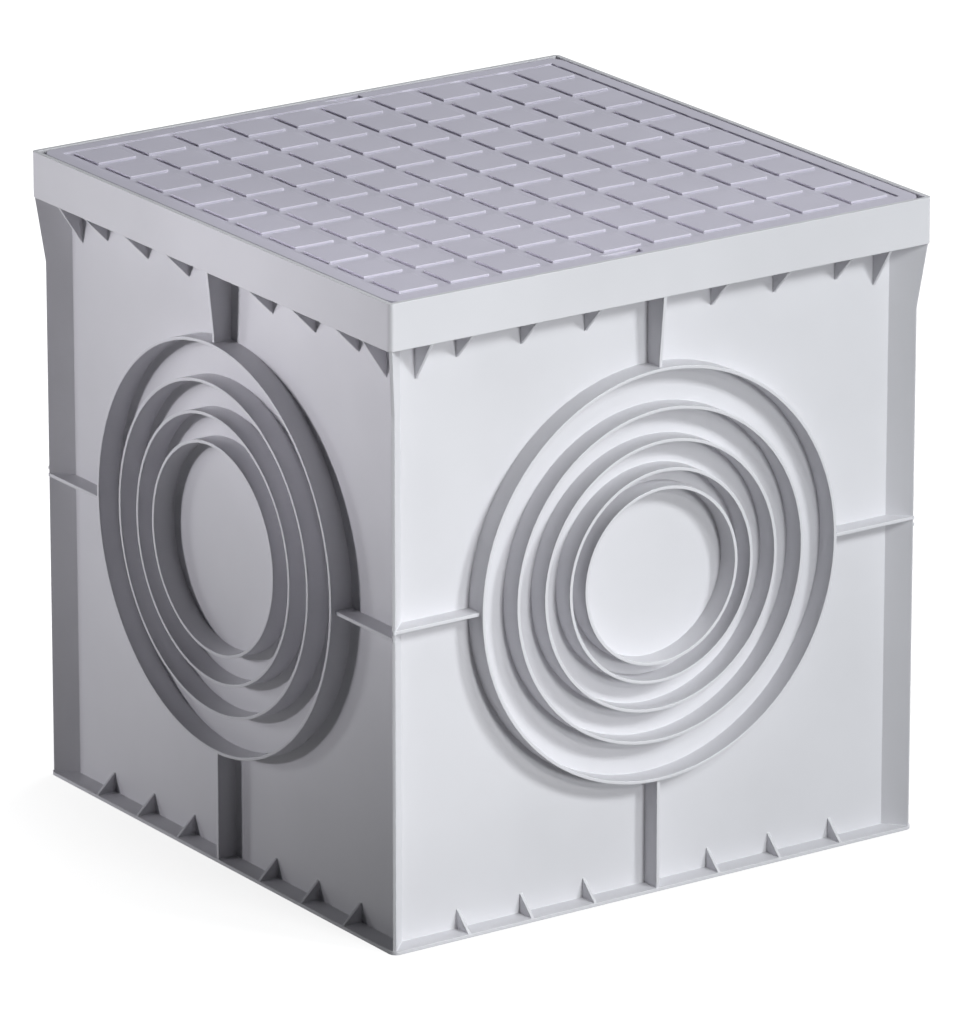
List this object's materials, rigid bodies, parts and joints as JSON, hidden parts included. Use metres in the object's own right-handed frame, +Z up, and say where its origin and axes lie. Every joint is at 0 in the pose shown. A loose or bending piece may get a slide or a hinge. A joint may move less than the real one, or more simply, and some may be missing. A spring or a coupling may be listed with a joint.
{
  "type": "drain inspection chamber",
  "caption": "Square moulded plastic inspection chamber for drains, with pipe rings on its sides, a base flange, corner fins and a patterned lift-out lid.",
  "frame": {"origin": "centre of the chamber's base, on the ground", "axes": "+Z up; -Y is the front, a side with five pipe rings; +X to its right, a side with four"},
  "size_m": [0.4, 0.4, 0.412],
  "materials": {
    "chamber": "matte, slightly satin moulded polypropylene",
    "lid": "matte moulded polypropylene"
  },
  "bodies": {
    "root": {"chamber_body": "chamber", "lid": "lid"}
  },
  "joints": []
}
